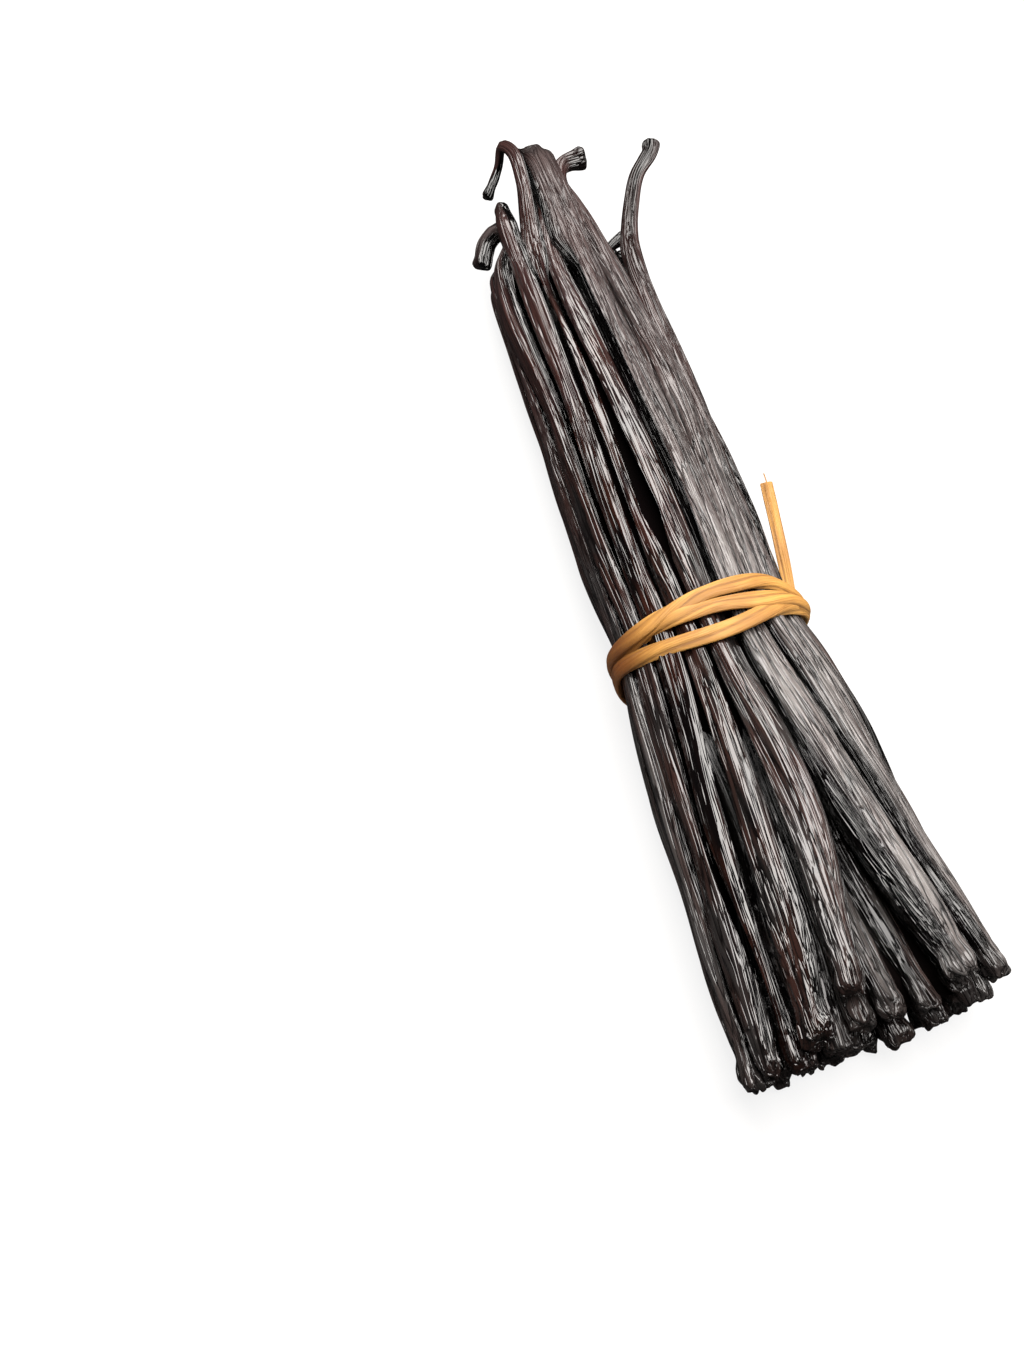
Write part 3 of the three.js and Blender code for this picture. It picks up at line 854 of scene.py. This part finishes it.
# %% The strands round the bundle
STRAND_WIDTH = 3.2
STRAND_THICKNESS = 1.4
STRAND_OVER_PODS = -0.2
STRANDS = [  # (angle round the bundle, y, lift over another strand)
    [(-90, 0, 0), (-40, 1, 0.6), (0, 0, 1.5), (45, 2.4, 0.3), (90, 1.5, 0.2), (140, -1.2, 0.7),
     (180, -1.5, 0.5), (220, -3, 0)],
    [(-90, 2.5, 0), (-40, 0, 0.9), (0, -0.5, 1.7), (45, -1.3, 0.7), (90, -1.1, 0), (125, -1, 0),
     (180, -3, 0), (225, 1, 0)],
    [(-90, -3.5, 0), (-40, -1.5, 0.5), (0, -1, 1.2), (45, -2.6, 0.2), (85, -5.6, 0), (130, -5.2, 0),
     (170, -4.4, 0.3), (215, -5.5, 0)],
]


def make_strand(course, number):
    places = [
        on_outline(y, angle, -(STRAND_OVER_PODS + STRAND_THICKNESS / 2 + lift))
        for angle, y, lift in course
    ]
    path = smooth_path(places, closed=True)
    _, _, half_height, lift = station_at(AT_TIE)
    outward = (path - (0, 0, lift + half_height)) * (1, 0, 1)
    return make_band(f"strand_{number}", path, outward, number, STRAND_WIDTH, STRAND_THICKNESS)


tie = [make_strand(course, number) for number, course in enumerate(STRANDS)]

# %% [markdown]
# The knot sits low on the right flank: two turns of the strip, drawn tight round the strands. One
# end runs up along the flank and is cut square, and a shorter one points the other way.

# %% The knot and the two ends
KNOT_ANGLE = -30
KNOT_OFFSET = 2.7
KNOT_RADIUS = 1.7
KNOT_LEAN = 0.7
KNOT_ROLL = 1.2
KNOT_BAND = dict(width=2.1, thickness=1.4)
KNOT_TURN_POINTS = 12
TAIL_BAND = dict(width=2.5, thickness=0.8, winding=0.1)
TAILS = [
    [(16.6, 1, 5.6), (17.9, 7, 6.8), (18.7, 15, 8.8), (19.6, 27, 11.2)],
    [(16.8, -1, 5), (18.4, -6, 4.4), (19.8, -11.5, 3.4)],
]
FIBRE_BAND = dict(width=0.26, thickness=0.16)
FIBRES = [  # a loose fibre at the cut of the long end
    [(19.4, 24.5, 11.0), (19.6, 27.2, 11.4), (19.5, 28.6, 11.9)],
]

knot_middle = on_outline(AT_TIE, KNOT_ANGLE, -KNOT_OFFSET)
for lean in (-KNOT_LEAN, KNOT_LEAN):
    turned = Matrix.Rotation(KNOT_ROLL, 3, "X") @ Matrix.Rotation(lean, 3, "Y")
    ring = [
        turned @ Vector((math.cos(turn), math.sin(turn), 0)) * KNOT_RADIUS
        for turn in np.linspace(0, math.tau, KNOT_TURN_POINTS, endpoint=False)
    ]
    turn_path = smooth_path(np.array(ring) + knot_middle + (0, lean, 0), closed=True)
    outward = turn_path - knot_middle - (0, lean, 0)
    tie.append(make_band("knot_turn", turn_path, outward, len(tie), **KNOT_BAND))
for band, courses in ((TAIL_BAND, TAILS), (FIBRE_BAND, FIBRES)):
    for course in courses:
        tie.append(make_band("raffia_end", smooth_path(course), (0, 0, 1), len(tie), **band))
raffia_strands = join(tie, "raffia_strands")

# %% [markdown]
# ## Materials
#
# A small function adds a node with its settings and links, and another turns the colours that a maker
# would pick on a screen to linear light.

# %% Helpers for materials
def linear(hex_colour):
    """An sRGB hex colour as linear RGBA."""
    channels = [int(hex_colour[i : i + 2], 16) / 255 for i in (1, 3, 5)]
    straight = [c / 12.92 if c <= 0.04045 else ((c + 0.055) / 1.055) ** 2.4 for c in channels]
    return (*straight, 1.0)


def add_node(tree, kind, inputs=(), output=0, **settings):
    """Adds a node with its settings and links, and returns one of its outputs.

    The inputs are given by name, or in a row from the first. Each is a value or another output.
    """
    node = tree.nodes.new(kind)
    for name, value in settings.items():
        setattr(node, name, value)
    pairs = inputs.items() if isinstance(inputs, dict) else enumerate(inputs)
    for socket, value in pairs:
        if isinstance(value, bpy.types.NodeSocket):
            tree.links.new(value, node.inputs[socket])
        else:
            node.inputs[socket].default_value = value
    return node.outputs[output] if node.outputs else None


ATTRIBUTE = "ShaderNodeAttribute"
SCALED = "ShaderNodeMapping"
NOISE = "ShaderNodeTexNoise"
MATHS = "ShaderNodeMath"
RANGE = "ShaderNodeMapRange"  # value, from low and high, to low and high
BLEND = "ShaderNodeMix"
BUMP = "ShaderNodeBump"
SKIN_SHADER = "ShaderNodeBsdfPrincipled"
SURFACE = "ShaderNodeOutputMaterial"


def per_mm(across, along):
    """The scale at which one unit of a pattern is `across` mm wide and `along` mm long."""
    return (1 / across, 1 / along, 1 / across)


def new_material(name):
    material = bpy.data.materials.new(name)
    material.use_nodes = True
    material.node_tree.nodes.clear()
    return material, material.node_tree


# %% [markdown]
# ### Cured vanilla skin
#
# The skin is a dark, waxy leather. Oil that sweats out makes it shine on the ridges, while the
# furrows stay nearly black. Where the oil has dried, crystals of vanillin leave a pale grey bloom;
# on the pods at the right that pale grey is partly painted sheen.
# The blossom end stays wet and black, and the stem dries to a dull grey brown.
#
# A noise that is stretched along the pod passes through its middle value on long lines that part and
# join, as wrinkles do. Narrow dark grooves along those lines leave flat bands of skin between them,
# which catch the light as the real ones do. So the same noise gives both the relief and the colour,
# and the grooves' dark colour is partly painted shade.

# %% Cured vanilla skin
SKIN_PATTERNS = (  # name, width and length in mm, and the noise's own values
    ("wrinkles", 0.9, 26.0, dict(Detail=0.0)),
    ("threads", 0.45, 12.0, dict(Detail=0.0)),
    ("cracks", 1.3, 17.0, dict(Detail=1.0, Roughness=0.5, Distortion=0.3)),
    ("patches", 3.0, 16.0, dict(Detail=2.0)),
    ("grain", 0.32, 1.4, dict(Detail=2.0)),
)
LINE_WIDTHS = (("wrinkles", 0.08), ("threads", 0.1), ("cracks", 0.035))  # in the noise's values
WRINKLE_DEPTH = 0.6
THREAD_DEPTH = 0.3
OILY_BLACK = "#080404"
OILY_BROWN = "#2a150f"
CRACK_AND_SHADE_BLACK = "#050303"
# pale grey bloom, which on the pods at the right is partly painted sheen
PALE_BLOOM_AND_SHEEN = "#7f7a78"
DULL_BLOOM_AND_SHEEN = "#443c3b"
DRIED_STEM = "#3a2422"
# painted shade for the skin deep in the gaps between the pods
PAINTED_GAP_SHADE = "#030202"
WET_TIP = "#0f0b0a"
CUT_STEM = "#120e0d"
SHADE_ROUGHNESS = 0.12
WET_TIP_REACH = (1.0, 6.0)  # from the blossom end: in full, and no more, in mm
BLOOM_PAINTED_LIGHT_OVER = (20.0, 150.0)
CUT_STEM_REACH = (0.5, 6.0)  # from the end of the stem
DRIED_STEM_REACH = (12.0, 75.0)


def cured_skin(name, coat, relief, ridge, cracked):
    """Pod skin: its film of oil, its relief in metres, and how high ridges and deep cracks are."""
    material, tree = new_material(name)
    rest = add_node(tree, ATTRIBUTE, output="Vector", attribute_name="rest")
    bloom, from_tip, from_end, in_gap = (
        add_node(tree, ATTRIBUTE, output="Fac", attribute_name=key)
        for key in ("bloom", "from_tip", "from_stem_end", "in_gap")
    )

    noises = {}
    for pattern, across, along, values in SKIN_PATTERNS:
        place = add_node(tree, SCALED, {"Vector": rest, "Scale": per_mm(across, along)})
        noises[pattern] = add_node(tree, NOISE, {"Vector": place, "Scale": 1.0, **values}, "Fac")
    away, lines = {}, {}
    for pattern, width in LINE_WIDTHS:
        away[pattern] = add_node(tree, MATHS, (noises[pattern], 0.5), operation="SUBTRACT")
        away[pattern] = add_node(tree, MATHS, (away[pattern],), operation="ABSOLUTE")
        lines[pattern] = add_node(tree, RANGE, (away[pattern], 0.0, width, 1.0, 0.0))
    height = add_node(tree, MATHS, (away["wrinkles"], ridge), operation="MULTIPLY")
    for pattern, depth in (
        ("wrinkles", WRINKLE_DEPTH), ("threads", THREAD_DEPTH), ("cracks", cracked)
    ):
        height = add_node(tree, MATHS, (lines[pattern], -depth, height), operation="MULTIPLY_ADD")

    # Oily flesh is black with brown patches. The bloom over it is painted paler towards the blossom end
    # and darker towards the stem: painted light along the pod.
    warm = add_node(tree, RANGE, (noises["patches"], 0.4, 0.56))
    flesh = add_node(
        tree, BLEND, {"Factor": warm, "A": linear(OILY_BLACK), "B": linear(OILY_BROWN)}, 2,
        data_type="RGBA",
    )
    speckle = add_node(tree, MATHS, (noises["patches"], 0.5, noises["grain"]), operation="MULTIPLY_ADD")
    # painted light: the bloom is paler towards the blossom end and darker towards the stem
    paler = add_node(tree, RANGE, (from_tip, *BLOOM_PAINTED_LIGHT_OVER, 0.45, -0.4))
    speckle = add_node(tree, MATHS, (speckle, paler), operation="SUBTRACT")
    speckle = add_node(tree, RANGE, (speckle, 0.5, 1.0))
    # the pale grey of dust, partly painted sheen on the pods at the right
    dusty = add_node(
        tree, BLEND, {"Factor": speckle, "A": linear(PALE_BLOOM_AND_SHEEN), "B": linear(DULL_BLOOM_AND_SHEEN)}, 2,
        data_type="RGBA",
    )
    thinned = add_node(tree, RANGE, (noises["patches"], 0.62, 0.4, 0.55, 1.0))
    bloom = add_node(tree, MATHS, (bloom, thinned), operation="MULTIPLY")
    skin = add_node(tree, BLEND, {"Factor": bloom, "A": flesh, "B": dusty}, 2, data_type="RGBA")

    # The furrows and cracks are black: painted shade in the grooves, and dark skin in the cracks of the
    # bloom. The stem is browner, the ends are dark, and the gaps get painted shade.
    cracks_and_furrow_shade = add_node(tree, MATHS, (lines["wrinkles"], lines["cracks"]), operation="MAXIMUM")
    dry = add_node(tree, RANGE, (from_end, *DRIED_STEM_REACH, 1.0, 0.0))
    browned = add_node(tree, RANGE, (bloom, 0.0, 1.0, 0.75, 0.25))
    browned = add_node(tree, MATHS, (browned, dry), operation="MULTIPLY")
    at_tip = add_node(tree, RANGE, (from_tip, *WET_TIP_REACH, 0.6, 0.0))
    at_cut = add_node(tree, RANGE, (from_end, *CUT_STEM_REACH, 0.75, 0.0))
    for amount, colour in (
        (cracks_and_furrow_shade, CRACK_AND_SHADE_BLACK), (browned, DRIED_STEM), (at_tip, WET_TIP), (at_cut, CUT_STEM),
        (in_gap, PAINTED_GAP_SHADE),
    ):
        skin = add_node(
            tree, BLEND, {"Factor": amount, "A": skin, "B": linear(colour)}, 2, data_type="RGBA"
        )

    # Oil is smooth. Dry stems and bloom are duller, and nothing in the shade of a gap glitters.
    roughness = add_node(tree, RANGE, (noises["patches"], 0.3, 0.7, 0.08, 0.16))
    for share, weight in ((dry, 0.25), (bloom, 0.2)):
        roughness = add_node(tree, MATHS, (share, weight, roughness), operation="MULTIPLY_ADD")
    roughness = add_node(tree, BLEND, {"Factor": in_gap, "A": roughness, "B": SHADE_ROUGHNESS})
    bump = add_node(tree, BUMP, {"Height": height, "Strength": 1.0, "Distance": relief}, "Normal")
    shader = add_node(
        tree, SKIN_SHADER,
        {"Base Color": skin, "Roughness": roughness, "IOR": 1.45, "Normal": bump,
         "Coat Weight": coat, "Coat IOR": 1.5, "Coat Roughness": 0.07, "Coat Normal": bump},
    )
    add_node(tree, SURFACE, {"Surface": shader})
    return material


OILY_RELIEF = dict(relief=0.00017, ridge=1.2, cracked=0.0)
DUSTY_RELIEF = dict(relief=0.00018, ridge=1.5, cracked=0.8)
oily_skin = cured_skin("cured vanilla skin, oily", coat=0.6, **OILY_RELIEF)
# The second layer lies in shade under the other pods. Its copy of the oily skin has no coat, so it
# shows less shine: painted shade.
shaded_inner_skin = cured_skin("cured vanilla skin, under other pods", coat=0.0, **OILY_RELIEF)
# the pods at the right get this skin: its pale grey is dust and partly painted sheen
dust_and_sheen_skin = cured_skin("cured vanilla skin, with bloom", coat=0.3, **DUSTY_RELIEF)

# %% [markdown]
# ### Dried palm leaf
#
# Raffia is straw gold. Its fibres run lengthwise and shine a little where they are smooth. Its creases
# are painted browner as shade, and so is the side of the tie that lies in the shade at the left.

# %% Raffia
FIBRE_SIZE = (0.24, 16.0)  # width and length in mm
TONE_SIZE = (2.4, 9.0)
FIBRE_RELIEF = 0.00022  # in metres
STRAW_DEEP = "#a07034"
STRAW_PALE = "#cb964a"
BETWEEN_FIBRES = "#86571f"
CREASE_SHADE_BROWN = "#5e3817"
SHADED_END_BROWN = "#6e3a12"


def dried_palm_leaf():
    material, tree = new_material("raffia, dried palm leaf")
    rest = add_node(tree, ATTRIBUTE, output="Vector", attribute_name="rest")
    fold = add_node(tree, ATTRIBUTE, output="Fac", attribute_name="in_fold")
    place = add_node(tree, SCALED, {"Vector": rest, "Scale": per_mm(*FIBRE_SIZE)})
    fibres = add_node(
        tree, NOISE, {"Vector": place, "Scale": 1.0, "Detail": 3.0, "Roughness": 0.6}, "Fac"
    )
    place = add_node(tree, SCALED, {"Vector": rest, "Scale": per_mm(*TONE_SIZE)})
    tones = add_node(tree, NOISE, {"Vector": place, "Scale": 1.0, "Detail": 2.0}, "Fac")
    paler = add_node(tree, RANGE, (tones, 0.35, 0.7))
    colour = add_node(
        tree, BLEND, {"Factor": paler, "A": linear(STRAW_DEEP), "B": linear(STRAW_PALE)}, 2,
        data_type="RGBA",
    )
    here = add_node(tree, "ShaderNodeTexCoord", output="Object")
    from_left = add_node(tree, "ShaderNodeSeparateXYZ", (here,), "X")
    for value, low, high, at_low, at_high, tint in (
        (fibres, 0.36, 0.52, 0.5, 0.0, BETWEEN_FIBRES),
        # painted shade: the creases of the strip are browner
        (fold, 0.6, 1.0, 0.0, 0.7, CREASE_SHADE_BROWN),
        # painted shade: the end of the tie at the left, in the shade of the bundle, is browner
        (from_left, -0.022, -0.016, 0.85, 0.0, SHADED_END_BROWN),
    ):
        amount = add_node(tree, RANGE, (value, low, high, at_low, at_high))
        colour = add_node(
            tree, BLEND, {"Factor": amount, "A": colour, "B": linear(tint)}, 2, data_type="RGBA"
        )
    bump = add_node(
        tree, BUMP, {"Height": fibres, "Strength": 1.0, "Distance": FIBRE_RELIEF}, "Normal"
    )
    shader = add_node(
        tree, SKIN_SHADER, {"Base Color": colour, "Roughness": 0.5, "IOR": 1.45, "Normal": bump}
    )
    add_node(tree, SURFACE, {"Surface": shader})
    return material


raffia = dried_palm_leaf()

# %% The shade inside the bundle
shade, tree = new_material("shade between the pods")
dark = add_node(tree, SKIN_SHADER, {"Base Color": linear(CRACK_AND_SHADE_BLACK), "Roughness": 1.0, "IOR": 1.1})
add_node(tree, SURFACE, {"Surface": dark})

# %% Give the pieces their materials and bodies
PIECES = [
    (pods_on_top_left, oily_skin, "pods", "pod_skin"),
    (pods_on_top_right, dust_and_sheen_skin, "pods", "pod_skin"),
    (pods_right_flank, dust_and_sheen_skin, "pods", "pod_skin"),
    (pods_left_flank, oily_skin, "pods", "pod_skin"),
    (pods_second_layer, shaded_inner_skin, "pods", "pod_skin"),
    (core, shade, "pods", "pod_skin"),
    (raffia_strands, raffia, "raffia_tie", "raffia"),
]
for piece, material, node, slot in PIECES:
    piece.data.materials.clear()
    piece.data.materials.append(material)
    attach(piece, "root")
    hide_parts(node)

# %% [markdown]
# ## Table and light
#
# The bundle lies on a plain white table. A wide, long softbox hangs over it and towards the stems,
# where the upper sides of the pods mirror it to the camera. A weak one at the right lifts the right
# flank. The room stays dim, because light from everywhere would turn the black skin grey.

# %% Table
FLOOR_HALF = 3.0  # in metres
TABLE_COLOUR = "#5d5c5b"
TABLE_GLOW = 0.85  # keeps it white under a light that suits dark skin
bm = bmesh.new()
bmesh.ops.create_grid(bm, x_segments=1, y_segments=1, size=FLOOR_HALF)
floor = put_in_scene("table", finished_mesh(bm, "table"))
white, tree = new_material("light table, opal acrylic")
shader = add_node(
    tree, SKIN_SHADER,
    {"Base Color": linear(TABLE_COLOUR), "Roughness": 0.75, "Emission Color": linear("#ffffff"),
     "Emission Strength": TABLE_GLOW},
)
add_node(tree, SURFACE, {"Surface": shader})
floor.data.materials.append(white)
floor.visible_glossy = False  # as dark cards would, this keeps the table out of the skins' sheen

# %% Lights
LIGHTS = [  # name, place in m, what it looks at in m, width, length, power in W
    ("long_softbox", (0.1, 0.2, 0.55), (0.0, 0.0, 0.0), 0.46, 0.95, 14.5),
    ("side_softbox", (0.65, 0.0, 0.19), (0.0, 0.0, 0.01), 0.3, 0.6, 1.3),
]
LAMPLIGHT = "#fffbf7"
ROOM_LIGHT = 0.03
for name, place, looks_at, width, length, power in LIGHTS:
    data = bpy.data.lights.new(name, "AREA")
    data.shape = "RECTANGLE"
    data.size = width
    data.size_y = length
    data.energy = power
    data.color = linear(LAMPLIGHT)[:3]
    light = put_in_scene(name, data)
    light.location = place
    back = (Vector(place) - Vector(looks_at)).normalized()
    along = (Vector((0, 1, 0)) - back * back.y).normalized()
    light.rotation_euler = Matrix((along.cross(back), along, back)).transposed().to_euler()

world = bpy.data.worlds.new("white room")
bpy.context.scene.world = world
world.use_nodes = True
room = world.node_tree.nodes["Background"]
room.inputs["Color"].default_value = linear("#ffffff")
room.inputs["Strength"].default_value = ROOM_LIGHT
bpy.context.scene.view_settings.view_transform = "Standard"
